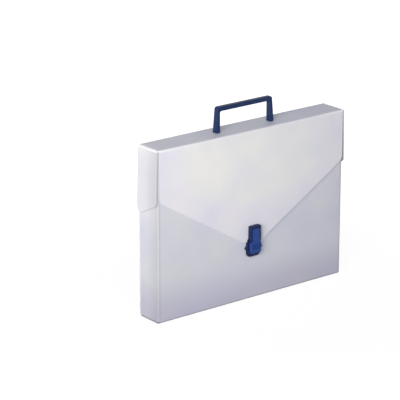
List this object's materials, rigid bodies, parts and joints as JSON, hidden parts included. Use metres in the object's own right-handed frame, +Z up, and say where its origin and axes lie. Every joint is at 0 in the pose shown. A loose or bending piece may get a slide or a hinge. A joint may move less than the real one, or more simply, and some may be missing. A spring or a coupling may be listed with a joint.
{
  "type": "plastic carry case",
  "caption": "Slim upright carry case folded from frosted plastic sheet, with a hinged lid and pointed front flap, end wings, a moulded carrying handle and a snap lever clasp.",
  "frame": {"origin": "middle of the flat underside that the case stands on", "axes": "+X to the right seen from the front, +Y from the front to the back, +Z up"},
  "size_m": [0.3896, 0.0605, 0.327],
  "materials": {
    "pp_sheet": "frosted translucent polypropylene sheet, fine sand texture",
    "navy_moulding": "moulded polypropylene, satin",
    "blue_lever": "moulded polypropylene, satin",
    "clip_plastic": "moulded polypropylene"
  },
  "bodies": {
    "case": {"bottom_panel": "pp_sheet", "front_panel": "pp_sheet", "back_panel": "pp_sheet", "left_side_panel": "pp_sheet", "right_side_panel": "pp_sheet", "keeper": "navy_moulding", "keeper_backing": "clip_plastic"},
    "lid": {"top_panel": "pp_sheet", "handle": "navy_moulding", "handle_retainers": "clip_plastic"},
    "left_wing": {"left_wing": "pp_sheet"},
    "right_wing": {"right_wing": "pp_sheet"},
    "flap": {"flap_panel": "pp_sheet", "hasp": "navy_moulding", "hasp_backing": "clip_plastic", "hinge_pin": "clip_plastic"},
    "latch_lever": {"latch_lever": "blue_lever"}
  },
  "joints": [
    {"name": "lid_hinge", "type": "hinge", "parent": "case", "child": "lid", "pos_m": [0, 0.0242, 0.2842], "axis": [-1, 0, 0], "range_deg": [0, 180]},
    {"name": "flap_hinge", "type": "hinge", "parent": "lid", "child": "flap", "pos_m": [0, -0.0268, 0.2842], "axis": [-1, 0, 0], "range_deg": [0, 105]},
    {"name": "left_wing_hinge", "type": "hinge", "parent": "lid", "child": "left_wing", "pos_m": [-0.191, 0, 0.2842], "axis": [0, 1, 0], "range_deg": [0, 90]},
    {"name": "right_wing_hinge", "type": "hinge", "parent": "lid", "child": "right_wing", "pos_m": [0.191, 0, 0.2842], "axis": [0, -1, 0], "range_deg": [0, 90]},
    {"name": "lever_pivot", "type": "hinge", "parent": "flap", "child": "latch_lever", "pos_m": [0, -0.0324, 0.1189], "axis": [-1, 0, 0], "range_deg": [0, 100]}
  ]
}
